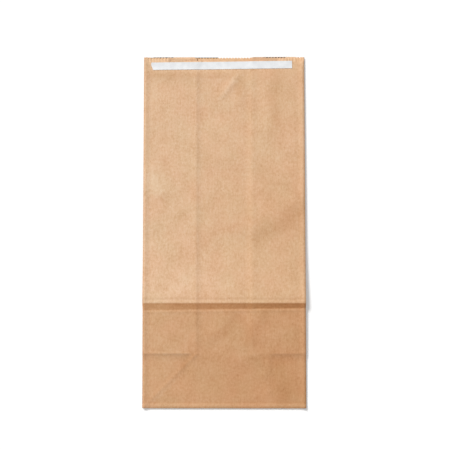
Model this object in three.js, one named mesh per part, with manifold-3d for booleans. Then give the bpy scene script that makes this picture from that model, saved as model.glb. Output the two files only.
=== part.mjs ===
// A block bottom kraft paper bag, folded flat, with a peel-off closing strip on its face.
// It lies on the side that its base is folded against. Millimetres, +X to the right,
// +Y from the bottom fold to the mouth, +Z up, with the origin under its middle.
import * as THREE from "three";
import { mergeVertices } from "three/addons/utils/BufferGeometryUtils.js";
import Module from "manifold-3d";

const wasm = await Module();
wasm.setup();

// The sheet and the box that it opens into.
const width = 160; // of the face and the back
const depth = 106; // of the base, and of each gusset opened out
const height = 347; // from the bottom fold to the mouth
const paper = 0.12; // thickness of the sheet
const air = 0.1; // between layers pressed together
const baseLap = 12; // by which the two long base flaps overlap
const seamLap = 15; // glued lap that closes the tube, on the back
const seamFade = 7; // past the lap, where its outer layer comes down again
const seamPlace = 18; // of the lap's free edge, right of the middle of the back

// The mouth.
const toothPitch = 2.95;
const toothDepth = 1.2;
const notchWidth = 109; // of the shallow thumb notch in the face
const notchDepth = 3.4;
const notchSlope = 1.2; // by which each end of the notch leans outwards

// How the folded stack has settled.
const drape = 8; // past an edge, until the layers above have come down to the next one
const backRun = 70; // past the base, until the back has come down to the ground
const slack = 0.16; // more air between the layers at the top of the base
const beadHeight = 0.5; // of the loop that a springy fold keeps
const beadCrest = 1.8; // from the fold to the highest part of the loop
const beadWidth = 7;
const jogRise = 2.2; // of the step across the face, just below the top of the base
const jogLength = 6;
const jogTaper = 1; // by which the step is longer at the left edge and shorter at the right
const jogInset = 2.2; // of the step's upper crease from the top of the base
const creaseLean = 0.8; // on each side of a crease, where the sheet is still bent
const mouthRise = 0.5; // that is left of the step at the mouth
const thinnest = 0.02; // share of a layer's thickness kept where the layer is missing

// The closing strip.
const stripMargin = 10.5; // from the bag's sides to the strip's ends, before the shift
const stripWidth = 7;
const stripDrop = 4.6; // from the mouth to the strip
const stripShift = -2; // of the strip from the middle
const stripSkew = 0.35; // degrees, its right end higher
const adhesive = 0.1; // thickness
const liner = 0.1; // thickness
const linerOverhang = 0.4; // of the liner past the adhesive
const glueLine = 0.05; // clearance under the adhesive and under the liner

const facets = 2; // of a fold's half turn
const bite = 0.4; // by which a fold's leg runs into its panel
const shortest = 0.03; // edge that is kept

// Worked out from the sizes.
const left = -width / 2;
const half = depth / 2;
const inner = left + half; // the gusset's inner fold
const flap = (depth + baseLap) / 2; // length of the base flaps
const tip = left + flap;
const pitch = paper + air;
const turn = (pitch + paper) / 2; // how far a plain fold stands out past its panels
const wrap = turn + pitch; // the same where one fold goes round another
const toothRow = height - notchDepth - toothPitch / 2; // foot of the row of faces that the teeth are cut from
const beyond = height + wrap; // where the lines of the long folds end, before they are shortened

// The glued base is stiff, so what lies on it feels each of its layers all over one of these.
const wholeBase = box(left, -left, 0, depth);
const upperBase = box(left, -left, half, depth);

// The layers from the ground up. An outline is seen from above, anticlockwise, from the bottom fold up,
// and cuts gives how far each of its sides stops short of the fold line. A twin has a mirror image.
const layers = [
  {
    name: "faceFlap",
    outline: [[left, 0], [-left, 0], [-tip, flap], [tip, flap]],
    cuts: [wrap, turn, 0, turn],
    bed: wholeBase,
  },
  {
    name: "faceCorner",
    outline: [[left, 0], [tip, 0], [tip, flap]],
    cuts: [wrap, 0, turn],
    bed: wholeBase,
    twin: true,
  },
  { name: "flapSeam", outline: seamOutline(flap + 1, depth - wrap), bed: wholeBase, glued: true },
  {
    name: "backFlap",
    outline: [[left, depth], [tip, depth - flap], [-tip, depth - flap], [-left, depth]],
    cuts: [turn, 0, turn, wrap],
    bed: wholeBase,
  },
  {
    name: "backCorner",
    outline: [[left, depth], [tip, depth - flap], [tip, depth]],
    cuts: [turn, 0, wrap],
    bed: wholeBase,
    twin: true,
  },
  {
    name: "sideFlap",
    outline: box(left, tip, 0, depth),
    cuts: [wrap, 0, wrap, turn],
    bed: wholeBase,
    twin: true,
  },
  {
    name: "sideTriangle",
    outline: [[left, 0], [inner, half], [left, depth]],
    cuts: [turn, turn, turn],
    bed: wholeBase,
    twin: true,
  },
  {
    name: "backTriangle",
    outline: [[left, half], [inner, half], [left, depth]],
    cuts: [wrap, turn, turn],
    bed: upperBase,
    twin: true,
  },
  { name: "backFoot", outline: upperBase, cuts: [wrap, turn, wrap, turn] },
  { name: "backSeam", outline: seamOutline(depth + pitch, height), glued: true },
  { name: "back", outline: box(left, -left, half, height), cuts: [wrap, turn, 0, turn] },
  { name: "backGusset", outline: box(left, inner, half, height), cuts: [wrap, turn, 0, turn], twin: true },
  {
    name: "faceGusset",
    outline: [[left, 0], [inner, half], [inner, height], [left, height]],
    cuts: [turn, turn, 0, turn],
    twin: true,
  },
  { name: "face", outline: box(left, -left, 0, height), cuts: [wrap, turn, 0, turn] },
];

// The folds, as the two layers that each joins and its line, with the panels on its left hand.
const folds = [
  { low: "faceFlap", high: "face", line: [[left, 0], [-left, 0]], round: wrap },
  { low: "faceCorner", high: "sideFlap", line: [[left, 0], [tip, 0]], cut: wrap, twin: true },
  { low: "backFlap", high: "backFoot", line: [[-left, depth], [left, depth]], round: wrap },
  { low: "backCorner", high: "sideFlap", line: [[tip, depth], [left, depth]], cut: wrap, twin: true },
  { low: "backFoot", high: "back", line: [[left, half], [-left, half]], cut: wrap },
  { low: "backTriangle", high: "backGusset", line: [[left, half], [inner, half]], round: wrap, twin: true },
  { low: "faceFlap", high: "faceCorner", line: [[tip, flap], [left, 0]], twin: true },
  { low: "backFlap", high: "backCorner", line: [[left, depth], [tip, depth - flap]], twin: true },
  { low: "sideFlap", high: "sideTriangle", line: [[left, depth], [left, 0]], twin: true },
  { low: "sideTriangle", high: "backTriangle", line: [[inner, half], [left, depth]], twin: true },
  { low: "sideTriangle", high: "faceGusset", line: [[left, 0], [inner, half]], twin: true },
  { low: "backTriangle", high: "backFoot", line: [[left, depth], [left, half]], twin: true },
  { low: "back", high: "backGusset", line: [[left, beyond], [left, half]], twin: true },
  { low: "backGusset", high: "faceGusset", line: [[inner, half], [inner, beyond]], twin: true },
  { low: "faceGusset", high: "face", line: [[left, beyond], [left, 0]], twin: true },
];

function box(x0, x1, v0, v1) {
  return [[x0, v0], [x1, v0], [x1, v1], [x0, v1]];
}

function seamOutline(v0, v1) {
  return box(seamPlace - seamLap, seamPlace, v0, v1);
}

function mirrored(points) {
  return points.map(([x, v]) => [-x, v]).reverse();
}

// Height of each layer's lower side in the flat stack, before it settles. The face, the last one, and the
// glued layers have no air over them.
const byName = {};
let stackTop = 0;
for (const layer of layers) {
  layer.air = layer.glued || layer === layers.at(-1) ? 0 : air;
  layer.base = stackTop;
  layer.outlines = layer.twin ? [layer.outline, mirrored(layer.outline)] : [layer.outline];
  layer.beds = layer.bed ? [layer.bed] : layer.outlines;
  stackTop += paper + layer.air;
  byName[layer.name] = layer;
}

// Unit vector along a side, and the one to its right, which points out of an anticlockwise outline.
function sideOf([x0, v0], [x1, v1]) {
  const along = new THREE.Vector2(x1 - x0, v1 - v0).normalize();
  return { along, out: new THREE.Vector2(along.y, -along.x) };
}

// An outline with each side moved inwards by its own cut.
function insetOutline(outline, cuts) {
  const sides = outline.map((point, i) => {
    const side = sideOf(point, outline[(i + 1) % outline.length]);
    const start = new THREE.Vector2(...point).addScaledVector(side.out, -cuts[i]);
    return { ...side, start };
  });
  return sides.map((side, i) => {
    const before = sides.at(i - 1);
    const gap = side.start.clone().sub(before.start);
    const reach = gap.dot(side.out) / before.along.dot(side.out);
    return before.start.clone().addScaledVector(before.along, reach);
  });
}

// A closed mesh as a solid for joining and cutting.
function solid(geometry) {
  const bare = new THREE.BufferGeometry().setAttribute("position", geometry.getAttribute("position"));
  bare.setIndex(geometry.index);
  const merged = mergeVertices(bare, 1e-4);
  const vertProperties = merged.getAttribute("position").array;
  return new wasm.Manifold(new wasm.Mesh({ numProp: 3, vertProperties, triVerts: merged.index.array }));
}

function slab(points, low, high) {
  const shape = new THREE.Shape(points.map((p) => new THREE.Vector2(p.x, p.y)));
  return solid(new THREE.ExtrudeGeometry(shape, { depth: high - low, bevelEnabled: false }).translate(0, 0, low));
}

// A section of [outward, up] points, swept along a line with its outward side on the right hand.
function sweep(section, from, to) {
  const start = new THREE.Vector2(...from);
  const end = new THREE.Vector2(...to);
  const { along, out } = sideOf(from, to);
  const shape = new THREE.Shape(section.map(([u, s]) => new THREE.Vector2(u, s)));
  const geometry = new THREE.ExtrudeGeometry(shape, { depth: start.distanceTo(end), bevelEnabled: false });
  const outward = new THREE.Vector3(out.x, out.y, 0);
  const backward = new THREE.Vector3(-along.x, -along.y, 0);
  const place = new THREE.Matrix4().makeBasis(outward, new THREE.Vector3(0, 0, 1), backward);
  return solid(geometry.applyMatrix4(place.setPosition(end.x, end.y, 0)));
}

// A fold: a half turn of the sheet from one layer to another, with a short leg in each panel.
function foldSolid({ low, high, line, round = turn, cut = round }) {
  const bottom = byName[low].base;
  const top = byName[high].base + paper;
  const middle = (bottom + top) / 2;
  const arc = (reach, rise) =>
    Array.from({ length: facets + 1 }, (_, i) => {
      const angle = (i / facets - 0.5) * Math.PI;
      return [reach * Math.cos(angle), middle + rise * Math.sin(angle)];
    });
  const outer = arc(round, top - middle);
  const inside = arc(round - paper, top - middle - paper).reverse();
  const legs = [[-bite, top], [-bite, top - paper]];
  const feet = [[-bite, bottom + paper], [-bite, bottom]];
  const { along, out } = sideOf(...line);
  const shift = out.clone().multiplyScalar(-cut);
  const from = [line[0][0] + shift.x + along.x * wrap, line[0][1] + shift.y + along.y * wrap];
  const to = [line[1][0] + shift.x - along.x * wrap, line[1][1] + shift.y - along.y * wrap];
  return sweep([...outer, ...legs, ...inside, ...feet], from, to);
}

// The free edge of the lap, a sharp step on one side, fading out on the other.
function seamSolid({ outline, base }) {
  const section = [
    [-seamLap, base],
    [0, base],
    [0, base + paper + air / 2],
    [-seamLap - seamFade, base + paper + air / 2],
    [-seamLap - seamFade, base + paper],
  ];
  return sweep(section, outline[1], outline[2]);
}

// The whole sheet as a stack of flat layers, joined by its folds.
function foldedSheet() {
  const pieces = [];
  for (const layer of layers) {
    for (const outline of layer.outlines) {
      if (layer.glued) pieces.push(seamSolid(layer));
      else {
        const cuts = outline === layer.outline ? layer.cuts : mirroredCuts(layer.cuts);
        pieces.push(slab(insetOutline(outline, cuts), layer.base, layer.base + paper));
      }
    }
  }
  for (const fold of folds) {
    pieces.push(foldSolid(fold));
    if (fold.twin) pieces.push(foldSolid({ ...fold, line: mirrored(fold.line) }));
  }
  return wasm.Manifold.union(pieces);
}

// The last side of a reversed outline is its first side, mirrored.
function mirroredCuts(cuts) {
  return [...cuts.slice(0, -1).reverse(), cuts.at(-1)];
}

// The thumb notch, cut through the face alone.
function notchCutter() {
  const foot = height - notchDepth;
  const corners = [
    [-notchWidth / 2 + notchSlope, foot],
    [notchWidth / 2 - notchSlope, foot],
    [notchWidth / 2, height],
    [notchWidth / 2, height + toothPitch],
    [-notchWidth / 2, height + toothPitch],
    [-notchWidth / 2, height],
  ];
  const points = corners.map((corner) => new THREE.Vector2(...corner));
  return slab(points, byName.face.base - air / 2, stackTop + air);
}

// The corners and faces of a solid as plain lists that can be split and moved.
function openMesh(part) {
  const mesh = part.getMesh();
  const points = [];
  for (let i = 0; i < mesh.vertProperties.length; i += mesh.numProp) {
    points.push(new THREE.Vector3(...mesh.vertProperties.slice(i, i + 3)));
  }
  const faces = [];
  for (let i = 0; i < mesh.triVerts.length; i += 3) faces.push([...mesh.triVerts.slice(i, i + 3)]);
  return closeSlivers({ points, faces });
}

// Draws the ends of each very short edge together, where the faces around it stay a closed surface.
function closeSlivers(mesh) {
  const around = mesh.points.map(() => new Set());
  for (const face of mesh.faces) for (const corner of face) around[corner].add(face);
  const neighbours = (corner) => new Set([...around[corner]].flat().filter((other) => other !== corner));
  for (const face of mesh.faces) {
    for (let i = 0; i < 3; i++) {
      const [a, b] = [face[i], face[(i + 1) % 3]];
      if (a === b || !around[a].has(face) || mesh.points[a].distanceTo(mesh.points[b]) > shortest) continue;
      const ofB = neighbours(b);
      const shared = [...neighbours(a)].filter((corner) => ofB.has(corner));
      if (shared.length !== 2) continue;
      for (const moved of around[b]) {
        if (moved.includes(a)) for (const corner of moved) if (corner !== b) around[corner].delete(moved);
        moved[moved.indexOf(b)] = a;
        if (moved.filter((corner) => corner === a).length === 1) around[a].add(moved);
      }
      around[b].clear();
    }
  }
  mesh.faces = mesh.faces.filter((face) => new Set(face).size === 3);
  return mesh;
}

// Splits the faces along the line where a linear measure is zero, at the places that the test allows.
function score(mesh, measure, allows = () => true) {
  const sign = mesh.points.map((point) => {
    const away = measure(point);
    return Math.abs(away) < shortest / 2 ? 0 : Math.sign(away);
  });
  const added = new Map();
  const crossing = (a, b) => {
    if (sign[a] * sign[b] >= 0) return [];
    const [low, high] = a < b ? [a, b] : [b, a];
    const key = `${low} ${high}`;
    if (!added.has(key)) {
      const [from, to] = [mesh.points[low], mesh.points[high]];
      const point = from.clone().lerp(to, measure(from) / (measure(from) - measure(to)));
      added.set(key, allows(point) ? [mesh.points.push(point) - 1] : []);
      sign.push(...added.get(key).map(() => 0));
    }
    return added.get(key);
  };
  mesh.faces = mesh.faces.flatMap((face) => {
    const loop = face.flatMap((corner, i) => [corner, ...crossing(corner, face[(i + 1) % face.length])]);
    const parts = [1, -1].map((side) => loop.filter((corner) => sign[corner] !== -side));
    const onLine = loop.filter((corner) => sign[corner] === 0).length;
    const crosses = parts.every((part) => part.length > onLine) && onLine === 2;
    return crosses ? parts : [loop];
  });
}

// A face as a fan of triangles, from the corner that gives the fattest ones.
function fan(mesh, face) {
  if (face.length === 3) return face;
  const fans = face.map((corner, i) => {
    const rest = [...face.slice(i + 1), ...face.slice(0, i)];
    return rest.slice(1).map((next, j) => [corner, rest[j], next]);
  });
  const area = (corners) => new THREE.Triangle(...corners.map((corner) => mesh.points[corner])).getArea();
  const thinnestOf = fans.map((triangles) => Math.min(...triangles.map(area)));
  return fans[thinnestOf.indexOf(Math.max(...thinnestOf))].flat();
}

// The step across the face: its lower crease and its upper crease.
const jogTop = () => depth - jogInset;
const jogFoot = (x) => jogTop() - jogLength + (jogTaper * x) / (width / 2);

// Distances at which the surface bends past an edge of a layer, and inwards from a springy fold.
const ramp = [0, drape / 5, drape / 2, drape];
const loop = [beadCrest / 4, beadCrest, (beadCrest + beadWidth) / 2, beadWidth];

// Scores the layers from one up where their settled surface bends, so that the triangles can follow it.
function scoreBends(mesh) {
  const from = (name) => (p) => p.z > byName[name].base - air / 2;
  for (const v of loop) score(mesh, (p) => p.y - v, from("face"));
  for (const past of ramp) score(mesh, (p) => p.y - half + past, from("backTriangle"));
  for (const lean of [-creaseLean, creaseLean]) {
    score(mesh, (p) => p.y - jogTop() - lean, from("backGusset"));
    score(mesh, (p) => p.y - jogFoot(p.x) - lean, from("backGusset"));
  }
  const runLines = [0, 0.15, 0.4, 0.7, 1].map((share) => depth + share * backRun);
  for (const v of [...runLines, toothRow]) score(mesh, (p) => p.y - v, from("backSeam"));
  for (const side of [-1, 1]) {
    const inwards = (p) => p.x * side - left;
    for (const d of loop) score(mesh, (p) => inwards(p) - d, from("backGusset"));
    for (const past of ramp) {
      score(mesh, (p) => inwards(p) - half - past, from("face"));
      score(mesh, (p) => inwards(p) - p.y - past, (p) => p.y < half && from("face")(p));
    }
  }
}

// Cuts the mouth into teeth, all layers alike.
function pinkMouth(mesh) {
  const inRow = (p) => p.y > toothRow - shortest;
  const atMouth = (p) => p.y > height - shortest;
  for (let x = 0; x < width / 2; x += toothPitch) {
    for (const side of x > 0 ? [-1, 1] : [1]) {
      score(mesh, (p) => p.x * side - x, inRow);
      score(mesh, (p) => p.x * side - x - toothPitch / 2, atMouth);
    }
  }
  score(mesh, (p) => p.x + toothPitch / 2, atMouth);
  for (const point of mesh.points) {
    if (!atMouth(point)) continue;
    const phase = Math.abs(point.x) / toothPitch;
    const fromTip = 2 * Math.abs(phase - Math.round(phase));
    point.y -= toothDepth * fromTip;
  }
}

// How far a point lies past an outline, as a share of the way that the layers above need to come down.
function sharePast(outline, x, v) {
  return Math.max(
    ...outline.map((point, i) => {
      const { out } = sideOf(point, outline[(i + 1) % outline.length]);
      const reach = out.y > 0.9 ? backRun : drape;
      return ((x - point[0]) * out.x + (v - point[1]) * out.y) / reach;
    }),
  );
}

// How much of a layer's thickness is felt at a point: all of it over the layer, and less past its edges.
function felt(layer, x, v) {
  const past = Math.min(...layer.beds.map((bed) => sharePast(bed, x, v)));
  const left = THREE.MathUtils.clamp(1 - past, 0, 1);
  return Math.max(thinnest, left * left);
}

// The loop that a springy fold keeps along its edge, as the height between its two layers.
function bead(distance) {
  if (distance < beadCrest) return beadHeight * Math.sqrt(Math.max(0, distance) / beadCrest);
  const left = Math.max(0, beadWidth - distance) / (beadWidth - beadCrest);
  return beadHeight * left * left;
}

// How far the gussets stand open: from the step up to the mouth.
function opening(x, v) {
  const rise = THREE.MathUtils.clamp((v - jogFoot(x)) / (jogTop() - jogFoot(x)), 0, 1);
  const run = THREE.MathUtils.clamp((v - depth) / (height - depth), 0, 1);
  return rise * THREE.MathUtils.lerp(jogRise, mouthRise, run);
}

// The air that is added over a layer at a point.
function extraAir(layer, x, v) {
  const sideBead = bead(width / 2 - Math.abs(x));
  if (layer.name === "backGusset") return opening(x, v);
  if (layer.name === "faceGusset") return sideBead + bead(v);
  if (layer.name === "back") return sideBead;
  return 0;
}

// The height that a point of the flat stack comes to rest at.
function settled(x, v, s) {
  const loose = 1 + (slack / air) * THREE.MathUtils.clamp(v / depth, 0, 1);
  let z = Math.max(0, s - stackTop);
  for (const layer of layers) {
    const inPaper = THREE.MathUtils.clamp(s - layer.base, 0, paper);
    const inAir = THREE.MathUtils.clamp(s - layer.base - paper, 0, layer.air);
    z += (inPaper + inAir * loose) * felt(layer, x, v);
    if (layer.air > 0) z += (inAir / layer.air) * extraAir(layer, x, v);
  }
  return z;
}

// A settled mesh as a geometry, with the origin under the middle of the bag.
function settledGeometry(mesh) {
  const positions = mesh.points.flatMap((p) => [p.x, p.y - height / 2, settled(p.x, p.y, p.z)]);
  const geometry = new THREE.BufferGeometry();
  geometry.setAttribute("position", new THREE.Float32BufferAttribute(positions, 3));
  geometry.setIndex(mesh.faces.flatMap((face) => fan(mesh, face)));
  return geometry;
}

function bagGeometry() {
  const mesh = openMesh(foldedSheet().subtract(notchCutter()));
  scoreBends(mesh);
  pinkMouth(mesh);
  return settledGeometry(mesh);
}

// One layer of the closing strip, on the face, with its thickness and its distance over the face.
function stripGeometry(length, breadth, thickness, over) {
  const angle = THREE.MathUtils.degToRad(stripSkew);
  const centre = new THREE.Vector2(stripShift, height - stripDrop - stripWidth / 2);
  const corners = box(-length / 2, length / 2, -breadth / 2, breadth / 2);
  const points = corners.map(([x, y]) => {
    return new THREE.Vector2(x, y).rotateAround(new THREE.Vector2(), angle).add(centre);
  });
  const mesh = openMesh(slab(points, stackTop + over, stackTop + over + thickness));
  for (const side of [-1, 1]) {
    for (const d of [...loop, ...ramp.map((past) => half + past)]) score(mesh, (p) => p.x * side - left - d);
  }
  for (const past of ramp) {
    score(mesh, (p) => p.x - seamPlace - past);
    score(mesh, (p) => p.x - seamPlace + seamLap + past);
  }
  return settledGeometry(mesh);
}

function named(name, geometry, color, roughness) {
  const mesh = new THREE.Mesh(geometry, new THREE.MeshStandardMaterial({ color, roughness, metalness: 0 }));
  mesh.name = name;
  return mesh;
}

const bag = new THREE.Group();
const stripLength = width - 2 * stripMargin;
const adhesiveLength = stripLength - 2 * linerOverhang;
const adhesiveWidth = stripWidth - 2 * linerOverhang;
const linerOver = glueLine + adhesive + glueLine;
bag.add(
  named("paper_bag", bagGeometry(), "#c9a07a", 0.85),
  named("adhesive_strip", stripGeometry(adhesiveLength, adhesiveWidth, adhesive, glueLine), "#d8cfae", 0.4),
  named("release_liner", stripGeometry(stripLength, stripWidth, liner, linerOver), "#ebebec", 0.5),
);
export default bag;
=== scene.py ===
import math
from functools import cached_property, reduce

import bmesh
import bpy
import numpy as np
from mathutils import Matrix, Vector


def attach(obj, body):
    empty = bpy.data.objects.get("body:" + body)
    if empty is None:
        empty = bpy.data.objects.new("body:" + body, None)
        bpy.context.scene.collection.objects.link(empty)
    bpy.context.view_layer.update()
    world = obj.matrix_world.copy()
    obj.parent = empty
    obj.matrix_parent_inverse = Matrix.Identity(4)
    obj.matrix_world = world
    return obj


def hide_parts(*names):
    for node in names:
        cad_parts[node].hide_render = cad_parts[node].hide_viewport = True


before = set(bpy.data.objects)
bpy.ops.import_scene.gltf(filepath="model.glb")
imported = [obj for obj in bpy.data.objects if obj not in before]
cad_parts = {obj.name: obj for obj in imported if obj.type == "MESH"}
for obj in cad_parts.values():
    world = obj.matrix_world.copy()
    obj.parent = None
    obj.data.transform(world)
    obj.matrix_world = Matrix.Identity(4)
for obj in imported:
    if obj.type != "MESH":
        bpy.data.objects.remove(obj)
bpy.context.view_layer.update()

# The bag's sizes in millimetres, as in the part's source: x runs across, v up from the bottom fold.
WIDTH, DEPTH, HEIGHT = 160.0, 106.0, 347.0
PAPER, AIR = 0.12, 0.1
SEAM_LAP, SEAM_PLACE = 15.0, 18.0
DRAPE, BACK_RUN, THINNEST = 8.0, 70.0, 0.02
BEAD_HEIGHT, BEAD_CREST, BEAD_WIDTH = 0.5, 1.8, 7.0
JOG_LENGTH, JOG_TAPER, JOG_INSET, MOUTH_RISE = 6.0, 1.0, 2.2, 0.5
CAD_SLACK, CAD_JOG = 0.16, 2.2
STRIP_MARGIN, STRIP_WIDTH, STRIP_DROP, STRIP_SHIFT = 10.5, 7.0, 4.6, -2.0
ADHESIVE, LINER, OVERHANG, GLUE_LINE = 0.1, 0.1, 0.4, 0.05

# Where the picture's bag differs a little from the solids.
SLACK, JOG = 0.1, 2.9  # less air in the base, and a taller step
JOG_DROP = 1.4  # by which the step lies lower
CREEP = 0.35  # by which the layers under the face stand out past it at the mouth
LIFT = 0.32  # of the face off the gussets, which leaves room for its wrinkles
CLEARANCE = 0.03  # that is always left between the face and the gussets
STRIP_SKEW = math.radians(0.55)
LINER_SPREAD = 0.3  # by which the liner reaches past its place on every side
LINER_TEAR = 0.35  # depth of the ragged tear at its left end

# How finely the sheet is cut, and what counts as the same place.
GRID, FINE_GRID, UNDER_GRID = 1.5, 0.75, 6  # on the face, by its sharp creases, and under the bag
SAME_LEVEL, WELD = 0.02, 0.002
SHARP_ANGLE = math.radians(40)
PER_METRE = 1000
PAINTED_SHADE_RANGE = 5  # steps of darkening that the painted shade and tone attribute spans
ACROSS, UP = 0, 1  # the axes of x and v

LEFT, HALF = -WIDTH / 2, DEPTH / 2
INNER = LEFT + HALF
PITCH = PAPER + AIR
JOG_TOP = DEPTH - JOG_INSET
STEP_TOP = JOG_TOP - JOG_DROP

# Wrinkles of the face: start, end, rise, and widths on the left and right hand.
WRINKLES = [
    ((-80, 334), (14, 331), 0.5, 4, 9),  # below the strip
    ((14, 329), (-4, 306), 0.55, 3.5, 4.5),  # the sharp one that falls from it
    ((24, 326), (14, 300), 0.3, 6, 5),
    ((42, 334), (45, 268), 0.55, 9, 8),  # down the right side
    ((80, 205), (20, 172), 0.7, 14, 13),  # the broad one from the right edge
    ((-78, 236), (-60, 206), 0.4, 8, 9),
    ((36, 96), (20, 58), 0.35, 6, 8),  # on the base
    ((8, 94), (-18, 64), 0.28, 6, 8),
    ((44, 46), (55, 4), 0.35, 8, 8),
    ((38, 34), (44, 14), 0.34, 3, 3.5),
]

# Painted shade on the face beside its wrinkles and folds, and, where the rise is negative, painted
# highlights on crests and lit patches.
PAINTED_SHADE_AND_LIGHT = [
    ((-80, 329), (8, 328), 0.5, 4, 2.5),  # beside the wrinkles
    ((19, 326), (14, 308), 0.6, 3.5, 3.5),
    ((50, 330), (52, 272), 0.5, 7, 7),
    ((80, 194), (24, 160), 0.55, 9, 12),
    ((40, 97), (25, 60), 0.45, 6, 6),
    ((16, 90), (-10, 66), 0.35, 6, 6),
    ((48, 50), (62, 6), 0.45, 9, 9),
    ((-27, 54), (-42, 38), 0.5, 1.5, 5),  # along the left corner fold
    ((-76, 228), (-62, 212), -0.4, 8, 8),
    ((-76, 112), (-6, 128), -0.35, 16, 12),
    ((11, 326), (-4, 305), -0.8, 2.2, 2.2),  # painted highlights on the crests of the sharp wrinkles
    ((40, 33), (44, 17), -0.4, 1.4, 1.4),
    ((-70, 6), (-44, 30), -0.35, 2, 1.5),
]

# Faint unevenness: how many waves, their lengths, and their rise as a share of that.
RIPPLES, RIPPLE_LENGTHS, RIPPLE_RISE = 46, (13, 70), 0.00042


def box(x0, x1, v0, v1):
    return [(x0, v0), (x1, v0), (x1, v1), (x0, v1)]


def mirrored(outline):
    return [(-x, v) for x, v in reversed(outline)]


class Layer:
    """One layer of the folded stack: the beds that feel it, the air over it, and the height it starts at."""

    top = 0.0

    def __init__(self, outline, twin=False, air=AIR):
        self.beds = [outline, mirrored(outline)] if twin else [outline]
        self.air = air
        self.base = Layer.top
        Layer.top += PAPER + air


WHOLE_BASE = box(LEFT, -LEFT, 0, DEPTH)
UPPER_BASE = box(LEFT, -LEFT, HALF, DEPTH)
LAYERS = [
    Layer(WHOLE_BASE),  # face flap
    Layer(WHOLE_BASE),  # its corners
    Layer(WHOLE_BASE, air=0),  # lap on the back flap
    Layer(WHOLE_BASE),  # back flap
    Layer(WHOLE_BASE),  # its corners
    Layer(WHOLE_BASE),  # side flaps
    Layer(WHOLE_BASE),  # side triangles
    Layer(UPPER_BASE),  # back triangles
    Layer(UPPER_BASE),  # foot of the back
    Layer(box(SEAM_PLACE - SEAM_LAP, SEAM_PLACE, DEPTH + PITCH, HEIGHT), air=0),
]
BACK = Layer(box(LEFT, -LEFT, HALF, HEIGHT))
BACK_GUSSET = Layer(box(LEFT, INNER, HALF, HEIGHT), twin=True)
FACE_GUSSET = Layer([(LEFT, 0), (INNER, HALF), (INNER, HEIGHT), (LEFT, HEIGHT)], twin=True)
FACE = Layer(box(LEFT, -LEFT, 0, HEIGHT), air=0)
LAYERS += [BACK, BACK_GUSSET, FACE_GUSSET, FACE]
STACK = Layer.top


def smooth(t):
    """An even step from 0 to 1."""
    t = np.clip(t, 0, 1)
    return t * t * (3 - 2 * t)


def bump(t):
    """A round hump of height 1, which fades within about 2 on each side."""
    return np.exp(-(t * t))


def share_past(outline, x, v):
    """How far points lie past an outline, as a share of the way that the layers above need to come down."""
    worst = np.full_like(x, -np.inf)
    for (x0, v0), (x1, v1) in zip(outline, outline[1:] + outline[:1]):
        length = math.hypot(x1 - x0, v1 - v0)
        out_x, out_v = (v1 - v0) / length, (x0 - x1) / length
        faces_mouth = out_v > 0.9
        reach = BACK_RUN if faces_mouth else DRAPE
        worst = np.maximum(worst, ((x - x0) * out_x + (v - v0) * out_v) / reach)
    return worst


def felt(layer, x, v):
    """The share of a layer's thickness that is felt above each point."""
    past = np.min([share_past(bed, x, v) for bed in layer.beds], axis=0)
    left = np.clip(1 - past, 0, 1)
    return np.maximum(THINNEST, left * left)


def bead(distance):
    """The loop that a springy fold keeps, by the distance from the fold."""
    near = np.sqrt(np.clip(distance / BEAD_CREST, 0, 1))
    left = np.clip((BEAD_WIDTH - distance) / (BEAD_WIDTH - BEAD_CREST), 0, 1)
    return BEAD_HEIGHT * np.where(distance < BEAD_CREST, near, left * left)


def jog_foot(x):
    """Where the step across the solid's face starts to rise."""
    return JOG_TOP - JOG_LENGTH + JOG_TAPER * x / (WIDTH / 2)


def step_foot(x):
    """Where the picture's step starts to rise."""
    return jog_foot(x) - JOG_DROP


def opening(x, v, jog):
    """How far the tube gapes: most at the step, and least at the mouth."""
    rise = np.clip((v - jog_foot(x)) / (JOG_TOP - jog_foot(x)), 0, 1)
    run = np.clip((v - DEPTH) / (HEIGHT - DEPTH), 0, 1)
    return rise * (jog + (MOUTH_RISE - jog) * run)


def thicknesses(x, v, as_seen):
    """For each layer, how thick its paper and the air over it have settled at each point."""
    slack, jog = (SLACK, JOG) if as_seen else (CAD_SLACK, CAD_JOG)
    loose = 1 + slack / AIR * np.clip(v / DEPTH, 0, 1)
    side = bead(WIDTH / 2 - np.abs(x))
    extra = {
        BACK: side,
        BACK_GUSSET: opening(x, v + JOG_DROP if as_seen else v, jog),
        FACE_GUSSET: side + bead(v) + (relief(x, v) if as_seen else 0),
    }
    for layer in LAYERS:
        share = felt(layer, x, v)
        yield layer, PAPER * share, layer.air * loose * share + extra.get(layer, 0)


def settle(x, v, s):
    """The height that points of the flat stack come to rest at, as in the picture."""
    z = np.maximum(0, s - STACK)
    for layer, paper, air in thicknesses(x, v, as_seen=True):
        z += np.clip((s - layer.base) / PAPER, 0, 1) * paper
        if layer.air:
            z += np.clip((s - layer.base - PAPER) / layer.air, 0, 1) * air
    return z


def flatten(x, v, z):
    """The heights in the flat stack of points of the CAD solid."""
    s = np.zeros_like(z)
    below = np.zeros_like(z)
    for layer, paper, air in thicknesses(x, v, as_seen=False):
        s += np.clip((z - below) / paper, 0, 1) * PAPER
        below += paper
        if layer.air:
            s += np.clip((z - below) / air, 0, 1) * layer.air
            below += air
    return s


def crease(x, v, start, end, rise, before, after):
    """A soft ridge from start to end. before and after are its widths on its left and right hand."""
    (x0, v0), (x1, v1) = start, end
    length = math.hypot(x1 - x0, v1 - v0)
    ux, uv = (x1 - x0) / length, (v1 - v0) / length
    along = (x - x0) * ux + (v - v0) * uv
    right = (x - x0) * uv - (v - v0) * ux
    ends = smooth(along / length * 3 + 0.5) * smooth((1 - along / length) * 3 + 0.5)
    return rise * ends * bump(right / np.where(right < 0, before, after))


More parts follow.
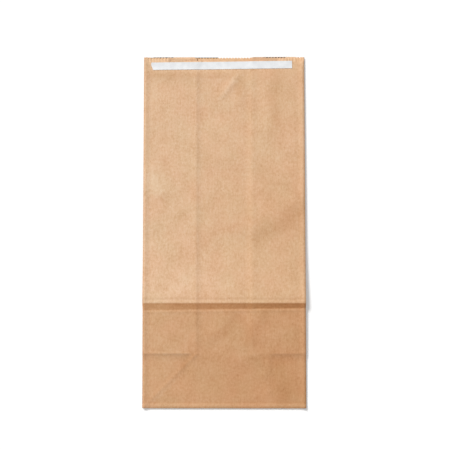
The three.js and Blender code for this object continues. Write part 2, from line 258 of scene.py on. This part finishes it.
def ripples(x, v):
    """Faint unevenness of a handled sheet, as a sum of waves in all directions."""
    rng = np.random.default_rng(11)
    total = np.zeros_like(x)
    for _ in range(RIPPLES):
        wave = rng.uniform(*RIPPLE_LENGTHS)
        turn = rng.uniform(0, math.pi)
        phase = rng.uniform(0, 2 * math.pi)
        total += wave * np.sin(2 * math.pi * (x * math.cos(turn) + v * math.sin(turn)) / wave + phase)
    return total * RIPPLE_RISE


def step_print(x, v):
    """The step's rounded lip, the hollow above it, and the swell at its foot."""
    lip = 0.16 * bump((v - STEP_TOP - 0.5) / 0.9)
    hollow = 0.22 * bump((v - STEP_TOP - 3.4) / 1.2)
    swell = 0.2 * bump((v - step_foot(x) + 1.9) / 1.2)
    return lip - hollow + swell


def half_depth_print(x, v):
    """The fold line at half the base's depth: sharp over the gussets, a long soft fall between them."""
    over_gusset = np.where(x < 0, smooth((-30 - x) / 6), smooth((x - 43) / 6))
    line = 0.13 * bump((v - HALF - 0.6) / 0.9) - 0.08 * bump((v - HALF + 2.2) / 1.4)
    drop = 4 * (PAPER + AIR + SLACK / 2)  # of the four layers that end at the line
    left_of_short, left_of_long = (1 - np.clip((HALF - v) / reach, 0, 1) for reach in (DRAPE, 38))
    fall = drop * (left_of_long**2 - left_of_short**2)
    return over_gusset * np.where(x < 0, 1, 0.4) * line + np.where(v < HALF, (1 - over_gusset) * fall, 0)


def gusset_print(x, v):
    """The inner folds of the gussets up the tube, and their corner folds in the base."""
    on_tube = smooth((v - 58) / 10) * smooth((336 - v) / 8)
    left_fold = 0.24 * bump((x - INNER + 1) / np.where(x < INNER - 1, 3.8, 2.2))
    right_fold = 0.17 * bump((x - np.where(v < step_foot(x), 36.5, 28.6)) / 3.2)
    on_corner = smooth((HALF + 2 - v) / 4) * smooth(v / 6)
    corner_fold = np.where(x < 0, 0.26, 0.12) * bump((v + np.abs(x) - WIDTH / 2) / math.sqrt(2) / 1.6)
    return on_tube * (left_fold + right_fold) + on_corner * corner_fold


def edge_print(x, v):
    """Paper that curls up by the notch's corners, and the grooves inside the side and bottom folds."""
    curl = 0.9 * bump((np.abs(x) - 56) / 5) * smooth((v - 336) / 8)
    side_groove = 0.05 * bump((np.abs(x) - 73) / 1.2)
    bottom_groove = 0.13 * bump((v - 5.8) / 1.2)
    return curl - side_groove - bottom_groove


def relief(x, v):
    """What the face does over its gussets: the prints of the folds beneath it, wrinkles and ripples."""
    prints = step_print(x, v) + half_depth_print(x, v) + gusset_print(x, v) + edge_print(x, v)
    wrinkles = sum(crease(x, v, *wrinkle) for wrinkle in WRINKLES)
    off_edge = smooth(np.minimum(WIDTH / 2 - np.abs(x), v) / 4)
    off_mouth = smooth((HEIGHT - 4 - v) / 14)
    free = (LIFT + prints + wrinkles + ripples(x, v)) * off_edge * off_mouth
    return np.maximum(CLEARANCE, free + CLEARANCE)


def slice_faces(bm, faces, places, axis):
    """Cuts faces at places along an axis, given in order, halving the work each time."""
    if not faces or not places:
        return
    middle = len(places) // 2
    point, normal = Vector((0, 0, 0)), Vector((0, 0, 0))
    point[axis], normal[axis] = places[middle], 1
    geometry = dict.fromkeys(part for face in faces for part in (face, *face.edges, *face.verts))
    cut = bmesh.ops.bisect_plane(bm, geom=list(geometry), dist=1e-4, plane_co=point, plane_no=normal)
    sides = [[], []]
    for face in cut["geom"]:
        if isinstance(face, bmesh.types.BMFace):
            sides[face.calc_center_median()[axis] > places[middle]].append(face)
    slice_faces(bm, sides[0], places[:middle], axis)
    slice_faces(bm, sides[1], places[middle + 1 :], axis)


def spaced(low, high, gap):
    """Places between low and high, about a gap apart."""
    return list(np.linspace(low, high, round((high - low) / gap) + 1)[1:-1])


def with_close(even, low, high):
    """Even places, with closer ones from low to high."""
    return sorted([t for t in even if not low < t < high] + list(np.arange(low, high, FINE_GRID)))


def places_up():
    """Where the face is cut across: evenly, and closer by the bottom fold and the sharp creases."""
    near_bottom = [0.45, 0.9, 1.8, 2.7, 3.6, 4.6, 5.6, 6.6]
    even = with_close(spaced(7.5, HEIGHT - 6, GRID), HALF - 5, HALF + 3)
    return sorted(near_bottom + with_close(even, JOG_TOP - 11, JOG_TOP + 4))


def places_across():
    """Where the face is cut upright: evenly, and closer by its edges and the left gusset's fold."""
    near_edge = [0.45, 0.9, 1.8, 2.9, 4.1, 5.4, 6.8]
    sides = [sign * (WIDTH / 2 - d) for d in near_edge for sign in (-1, 1)]
    return sorted(sides + with_close(spaced(LEFT + 6.8, -LEFT - 6.8, GRID), INNER - 4, INNER + 4))


def cells_of(bm, test):
    return [face for face in bm.faces if all(test(vert.co) for vert in face.verts)]


def long_cells_of(bm, test, axis):
    """The cells that are longer along an axis than two of the face's cells."""

    def length(face):
        places = [vert.co[axis] for vert in face.verts]
        return max(places) - min(places)

    return [face for face in cells_of(bm, test) if length(face) > 2 * GRID]


def cut_into_cells(bm, flat, level):
    """Makes one face of a flat region, so that it cuts cleanly, and cuts it up and across."""
    others = set(bm.faces)
    bmesh.ops.dissolve_faces(bm, faces=flat)
    merged = [face for face in bm.faces if face not in others]
    slice_faces(bm, merged, places_up(), UP)
    bands = cells_of(bm, lambda co: abs(co.z - level) < SAME_LEVEL)
    slice_faces(bm, bands, places_across(), ACROSS)


def finish_mesh(bm, name, node, material):
    """Settles a flat mesh, makes it an object in metres, and lets it stand for a CAD node.

    Gives the object, and the places of its vertices in the flat stack.
    """
    bm.normal_update()
    x, v, s = np.array([vert.co for vert in bm.verts]).T
    z = settle(x, v, s)
    v = v + CREEP * smooth((v - 325) / 15) * (s < FACE.base - 0.01)
    bmesh.ops.triangulate(bm, faces=[face for face in bm.faces if len(face.verts) > 4])
    mesh = bpy.data.meshes.new(name)
    bm.to_mesh(mesh)
    bm.free()
    place = np.stack([x, v - HEIGHT / 2, z], axis=1) / PER_METRE
    mesh.vertices.foreach_set("co", place.astype(np.float32).ravel())
    mesh.shade_smooth()
    mesh.set_sharp_from_angle(angle=SHARP_ANGLE)
    mesh.materials.append(material)
    piece = bpy.data.objects.new(name, mesh)
    bpy.context.scene.collection.objects.link(piece)
    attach(piece, "root")
    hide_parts(node)
    return piece, (x, v, s)


def on_face(s):
    """1 on the face and above it, and 0 on the layers below it."""
    return smooth((s - FACE_GUSSET.base) / PAPER)


def in_step(x, v):
    """1 in the band of the step, and 0 outside it."""
    return smooth((v - step_foot(x) + 0.4) / 0.8) * smooth((STEP_TOP + 0.4 - v) / 0.8)


def painted_step_bounce_at(x, v, s):
    """How much the step's colour is warmed by painted bounce light, standing for light caught in the step.
    """
    return in_step(x, v) * on_face(s)


def painted_shade_and_tone_at(x, v, s):
    """How much painted shade darkens and browns the paper below its palest part, as a share of the ramp's
    range. Over the base it stands partly for the thicker stack beneath.
    """
    right = (x - LEFT) / WIDTH
    # Painted shade: darker towards the right, and more so on the right lower down, away from the light.
    painted_shade_and_tone = 0.5 + 0.42 * right + 0.4 * right * smooth((270 - v) / 80)
    # Over the base below the step: painted shade for its tilt away from the light, and partly the darker
    # look of the thicker stack beneath.
    painted_shade_and_tone += smooth((step_foot(x) + 1 - v) / 2) * (1.15 + 0.25 * right)
    # Painted shade below the half-depth fold, where the face tilts away from the light.
    painted_shade_and_tone += 0.25 * smooth((HALF + 1 - v) / 6)
    # Painted shade in the step's band, deeper to the right and towards its top.
    up_step = np.clip((v - step_foot(x)) / (STEP_TOP - step_foot(x)), 0, 1)
    painted_shade_and_tone += in_step(x, v) * (0.2 + 1.2 * right + 0.5 * up_step)
    # Painted shade in the hollow above the step.
    painted_shade_and_tone += 0.3 * bump(v - STEP_TOP - 4.8)
    # Painted shade beside wrinkles and folds, and painted highlights on their crests.
    painted_shade_and_tone += sum(crease(x, v, *shade) for shade in PAINTED_SHADE_AND_LIGHT)
    # Painted shade in the groove inside the bottom fold, and a painted highlight on the bead below it.
    painted_shade_and_tone += 0.5 * bump((v - 5.7) / 0.7) - 0.35 * bump(v - 3.2)
    # Darker along the side edges, more on the left.
    painted_shade_and_tone += np.where(x < 0, 2.2, 0.9) * smooth((np.abs(x) - WIDTH / 2 + 0.9) / 0.6)
    # Painted shade on the layers under the face near the mouth, deepest at their tips.
    inside = 0.9 + 0.8 * smooth(v - HEIGHT + CREEP)
    painted_shade_below_face = np.where(v > HEIGHT - 12, inside, 0.6)
    return (painted_shade_and_tone * on_face(s) + painted_shade_below_face * (1 - on_face(s))) / PAINTED_SHADE_RANGE


def paper_bag(material):
    """The CAD bag, flattened, cut finely where it shows, settled as in the picture, and given its painted
    shade and painted step warmth.
    """
    bm = bmesh.new()
    bm.from_mesh(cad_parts["paper_bag"].data)
    bmesh.ops.remove_doubles(bm, verts=bm.verts, dist=WELD / PER_METRE)
    x, v, z = np.array([vert.co for vert in bm.verts]).T * PER_METRE
    v += HEIGHT / 2
    for vert, co in zip(bm.verts, np.stack([x, v, flatten(x, v, z)], axis=1)):
        vert.co = co

    face_top = cells_of(bm, lambda co: co.z > STACK - SAME_LEVEL)
    cut_into_cells(bm, face_top, STACK)
    face_underside = cells_of(bm, lambda co: abs(co.z - FACE.base) < SAME_LEVEL and co.y > 0)
    cut_into_cells(bm, face_underside, FACE.base)
    side_folds = long_cells_of(bm, lambda co: co.z > FACE_GUSSET.base + PAPER - 0.01, UP)
    slice_faces(bm, side_folds, places_up(), UP)
    bottom_fold = long_cells_of(bm, lambda co: co.y < 0.6, ACROSS)
    slice_faces(bm, bottom_fold, places_across(), ACROSS)
    back = cells_of(bm, lambda co: co.z < SAME_LEVEL or abs(co.z - BACK.base) < SAME_LEVEL)
    slice_faces(bm, back, spaced(4, HEIGHT - 6, UNDER_GRID), UP)

    piece, flat = finish_mesh(bm, "Kraft_bag", "paper_bag", material)
    # Painted shade and tone, and the painted bounce warmth of the step, kept for the material.
    for key, values in (("painted_shade_and_tone", painted_shade_and_tone_at(*flat)), ("glow", painted_step_bounce_at(*flat))):
        attribute = piece.data.attributes.new(key, "FLOAT", "POINT")
        attribute.data.foreach_set("value", values.astype(np.float32))


def strip(name, node, material, low, thickness, inset, tear=0.0):
    """One layer of the closing strip, cut fine enough to follow the face."""
    length = WIDTH - 2 * STRIP_MARGIN - 2 * inset
    breadth = STRIP_WIDTH - 2 * inset
    bm = bmesh.new()
    bmesh.ops.create_cube(bm, size=1, matrix=Matrix.Diagonal((length, breadth, thickness, 1)))
    slice_faces(bm, list(bm.faces), spaced(-length / 2, length / 2, GRID), ACROSS)
    slice_faces(bm, list(bm.faces), [-2.6, -0.9, 0.9, 2.6], UP)
    turn = Matrix.Rotation(STRIP_SKEW, 4, "Z")
    centre = Vector((STRIP_SHIFT, HEIGHT - STRIP_DROP - STRIP_WIDTH / 2, low + thickness / 2))
    for vert in bm.verts:
        at_left_end = vert.co.x < 0.1 - length / 2
        if at_left_end:
            up = vert.co.y
            vert.co.x += tear * (abs(up) ** 1.5 * 0.25 + math.sin(up * 4.3) - 0.4 * up - 2)
        vert.co = turn @ vert.co + centre
    finish_mesh(bm, name, node, material)


class Nodes:
    """A material's nodes, with short ways to add and join them."""

    def __init__(self, name):
        self.material = bpy.data.materials.new(name)
        self.material.use_nodes = True
        self.tree = self.material.node_tree
        self.tree.nodes.clear()
        self.output = self.add("ShaderNodeOutputMaterial")

    @cached_property
    def place(self):
        """The piece's own coordinates, in metres."""
        return self.add("ShaderNodeTexCoord").outputs["Object"]

    def add(self, kind, **values):
        """A new node. Each value is one of its settings, or of its sockets by name."""
        node = self.tree.nodes.new(kind)
        for key, value in values.items():
            if hasattr(node, key):
                setattr(node, key, value)
            else:
                node.inputs[key.replace("_", " ")].default_value = value
        return node

    def put(self, value, socket):
        """Sets a socket to a number or a colour, or joins another node's output to it."""
        if isinstance(value, (int, float)):
            socket.default_value = value
        elif isinstance(value, tuple):
            socket.default_value = (*value, 1)
        else:
            self.tree.links.new(value, socket)

    def noise(self, scale, detail, rough, place=None):
        node = self.add("ShaderNodeTexNoise", Scale=scale, Detail=detail, Roughness=rough)
        self.put(place or self.place, node.inputs["Vector"])
        return node.outputs["Fac"]

    def stretched(self, scale, turn=0.0):
        """Coordinates scaled by a different amount each way, after a turn about Z."""
        node = self.add("ShaderNodeMapping")
        node.inputs["Scale"].default_value = scale
        node.inputs["Rotation"].default_value = (0, 0, turn)
        self.put(self.place, node.inputs["Vector"])
        return node.outputs["Vector"]

    def math(self, operation, a, b):
        node = self.add("ShaderNodeMath", operation=operation)
        self.put(a, node.inputs[0])
        self.put(b, node.inputs[1])
        return node.outputs[0]

    def all_of(self, operation, values):
        """One operation over several values."""
        return reduce(lambda a, b: self.math(operation, a, b), values)

    def weighted(self, *parts):
        """The sum of several values, each times its weight."""
        return self.all_of("ADD", [self.math("MULTIPLY", value, weight) for value, weight in parts])

    def ramp(self, factor, *stops):
        node = self.add("ShaderNodeValToRGB")
        elements = node.color_ramp.elements
        while len(elements) < len(stops):
            elements.new(0.5)
        for element, (position, colour) in zip(elements, stops):
            element.position = position
            element.color = (*colour, 1)
        self.put(factor, node.inputs["Fac"])
        return node.outputs["Color"]

    def multiply(self, factor, a, b):
        """Colour a times colour b, as far as the factor says."""
        node = self.add("ShaderNodeMix", data_type="RGBA", blend_type="MULTIPLY")
        for index, value in ((0, factor), (6, a), (7, b)):
            self.put(value, node.inputs[index])
        return node.outputs[2]

    def finish(self, colour, roughness, specular=0.5, height=None, strength=0.0):
        """Ends the material in one shader, embossed by a tenth of a millimetre where a height is given."""
        shader = self.add("ShaderNodeBsdfPrincipled")
        self.put(colour, shader.inputs["Base Color"])
        self.put(roughness, shader.inputs["Roughness"])
        self.put(specular, shader.inputs["Specular IOR Level"])
        if height is not None:
            emboss = self.add("ShaderNodeBump", Strength=strength, Distance=0.0001)
            self.put(height, emboss.inputs["Height"])
            self.put(emboss.outputs["Normal"], shader.inputs["Normal"])
        self.put(shader.outputs["BSDF"], self.output.inputs["Surface"])
        return self.material


def srgb(*levels):
    """A colour given as three levels up to 255, in the linear values that sockets take."""
    shares = [level / 255 for level in levels]
    return tuple(share / 12.92 if share <= 0.04045 else ((share + 0.055) / 1.055) ** 2.4 for share in shares)


def kraft_material():
    """Brown kraft: soft blotches, fibres lying all ways, faint ribs along the web, and a few dark specks,
    under painted shade and painted step warmth.
    """
    n = Nodes("Kraft_paper")
    blotches = n.noise(62, 3, 0.6)
    grain = n.noise(420, 4, 0.62)
    ribs = n.noise(1, 2, 0.5, n.stretched((900, 26, 900)))
    turns = (0.15, 0.85, -0.75, 1.6)
    fibres = [n.noise(1, 2, 0.5, n.stretched((2100, 300, 900), turn)) for turn in turns]
    extremes = n.math("ADD", n.all_of("MAXIMUM", fibres), n.all_of("MINIMUM", fibres))
    fibre = n.math("SUBTRACT", extremes, 1.0)

    even_ribs = n.math("SUBTRACT", ribs, 0.5)
    mottle = n.weighted((blotches, 0.28), (grain, 0.5), (fibre, 0.35), (even_ribs, 0.12))
    dark, middle, pale = srgb(206, 162, 122), srgb(224, 185, 149), srgb(236, 203, 172)
    colour = n.ramp(mottle, (0.19, dark), (0.39, middle), (0.6, pale))
    hue = n.ramp(n.noise(38, 2, 0.5), (0.35, srgb(255, 247, 244)), (0.65, srgb(249, 255, 250)))
    colour = n.multiply(0.45, colour, hue)
    speck_noise = n.noise(1, 1, 0.4, n.stretched((1500, 620, 900), 0.6))
    speck = n.ramp(speck_noise, (0.2, (1, 1, 1)), (0.26, (0, 0, 0)))
    colour = n.multiply(speck, colour, srgb(214, 190, 170))

    # Painted shade from the bag's attribute: each step darkens and browns the colour.
    painted_shade_and_tone = n.add("ShaderNodeAttribute", attribute_name="painted_shade_and_tone").outputs["Fac"]
    brown = (0.9, 0.822, 0.742)  # what one step of painted shade leaves of red, green and blue
    shares = (0, 0.2, 0.4, 0.65, 1)
    painted_shade_stops = [(share, tuple(c ** (PAINTED_SHADE_RANGE * share - 0.5) for c in brown)) for share in shares]
    colour = n.multiply(1.0, colour, n.ramp(painted_shade_and_tone, *painted_shade_stops))
    # Painted bounce light: the step's band is warmed.
    glow = n.add("ShaderNodeAttribute", attribute_name="glow").outputs["Fac"]
    colour = n.multiply(glow, colour, (1.07, 0.915, 0.76))

    height = n.weighted((grain, 0.6), (fibre, 0.5), (ribs, 0.35))
    roughness = n.math("ADD", 0.72, n.math("MULTIPLY", grain, 0.2))
    return n.finish(colour, roughness, 0.25, height, 0.22)


def liner_material():
    """White release paper: a smooth coat with a faint cloudy grain."""
    n = Nodes("Release_liner_paper")
    colour = n.ramp(n.noise(160, 3, 0.55), (0.3, srgb(224, 225, 227)), (0.7, srgb(238, 239, 240)))
    return n.finish(colour, 0.5, 0.35, n.noise(700, 2, 0.5), 0.1)


def adhesive_material():
    """Pale, slightly cloudy adhesive, seen only at its edges."""
    n = Nodes("Adhesive_band")
    colour = n.ramp(n.noise(300, 2, 0.5), (0.3, srgb(214, 200, 168)), (0.7, srgb(228, 216, 188)))
    return n.finish(colour, 0.35)


def floor_material():
    """White floor that keeps the bag's shadow, and shows as plain white where no shadow falls."""
    n = Nodes("Studio_floor")
    shader = n.add("ShaderNodeBsdfDiffuse", Color=(0.86, 0.86, 0.86, 1))
    glow = n.add("ShaderNodeEmission", Color=(1, 1, 1, 1))
    rays = n.add("ShaderNodeLightPath").outputs
    kinds = ("Is Camera Ray", "Is Glossy Ray", "Is Transmission Ray")
    seen = n.all_of("MAXIMUM", [rays[kind] for kind in kinds])
    n.put(n.math("MULTIPLY", seen, 0.2), glow.inputs["Strength"])
    both = n.add("ShaderNodeAddShader")
    n.put(shader.outputs[0], both.inputs[0])
    n.put(glow.outputs[0], both.inputs[1])
    n.put(both.outputs[0], n.output.inputs["Surface"])
    return n.material


def floor():
    reach, drop = 3.0, 0.0002  # metres to each side, and below the bag
    mesh = bpy.data.meshes.new("Floor")
    mesh.from_pydata([(x, y, -drop) for x, y in box(-reach, reach, -reach, reach)], [], [(0, 1, 2, 3)])
    mesh.materials.append(floor_material())
    piece = bpy.data.objects.new("Floor", mesh)
    bpy.context.scene.collection.objects.link(piece)


# The camera's place, fitted to the bag's four corners in the picture.
CAMERA_SHIFT = (-0.000812, -0.005807)
CAMERA_DISTANCE = 0.9
CAMERA_TURNS = (-3.66, -0.689, 0.020)
FOCAL_PIXELS, FRAME_PIXELS, SENSOR = 909.9, 450, 36


def camera():
    data = bpy.data.cameras.new("Camera")
    data.sensor_width = SENSOR
    data.lens = SENSOR * FOCAL_PIXELS / FRAME_PIXELS
    data.clip_start = 0.01
    turns = [Matrix.Rotation(math.radians(a), 4, axis) for a, axis in zip(CAMERA_TURNS, "XYZ")]
    into_view = Matrix.Translation((*CAMERA_SHIFT, -CAMERA_DISTANCE)) @ turns[0] @ turns[1] @ turns[2]
    piece = bpy.data.objects.new("Camera", data)
    piece.matrix_world = into_view.inverted()
    bpy.context.scene.collection.objects.link(piece)
    bpy.context.scene.camera = piece


def light():
    """Soft even light from the upper left, and the rest of the light from all round."""
    ambient = 0.4
    towards = Vector((-0.44, 0.62, 0.65)).normalized()
    data = bpy.data.lights.new("Key", "SUN")
    data.angle = math.radians(18)
    data.energy = (1 - ambient) * math.pi / towards.z
    piece = bpy.data.objects.new("Key", data)
    piece.rotation_mode = "QUATERNION"
    piece.rotation_quaternion = towards.to_track_quat("Z", "Y")
    bpy.context.scene.collection.objects.link(piece)
    world = bpy.data.worlds.new("Studio")
    world.use_nodes = True
    tree = world.node_tree
    background = tree.nodes["Background"]
    background.inputs["Color"].default_value = (1, 1, 1, 1)
    seen = tree.nodes.new("ShaderNodeLightPath")
    strength = tree.nodes.new("ShaderNodeMapRange")
    strength.inputs["To Min"].default_value = ambient
    strength.inputs["To Max"].default_value = 1
    tree.links.new(seen.outputs["Is Camera Ray"], strength.inputs["Value"])
    tree.links.new(strength.outputs["Result"], background.inputs["Strength"])
    bpy.context.scene.world = world


camera()
light()
floor()
paper_bag(kraft_material())
adhesive_low = STACK + GLUE_LINE
strip("Adhesive", "adhesive_strip", adhesive_material(), adhesive_low, ADHESIVE, OVERHANG)
liner_low = adhesive_low + ADHESIVE + GLUE_LINE
strip(
    "Liner", "release_liner", liner_material(), liner_low, LINER, -LINER_SPREAD, LINER_TEAR
)
bpy.context.scene.view_settings.view_transform = "Standard"
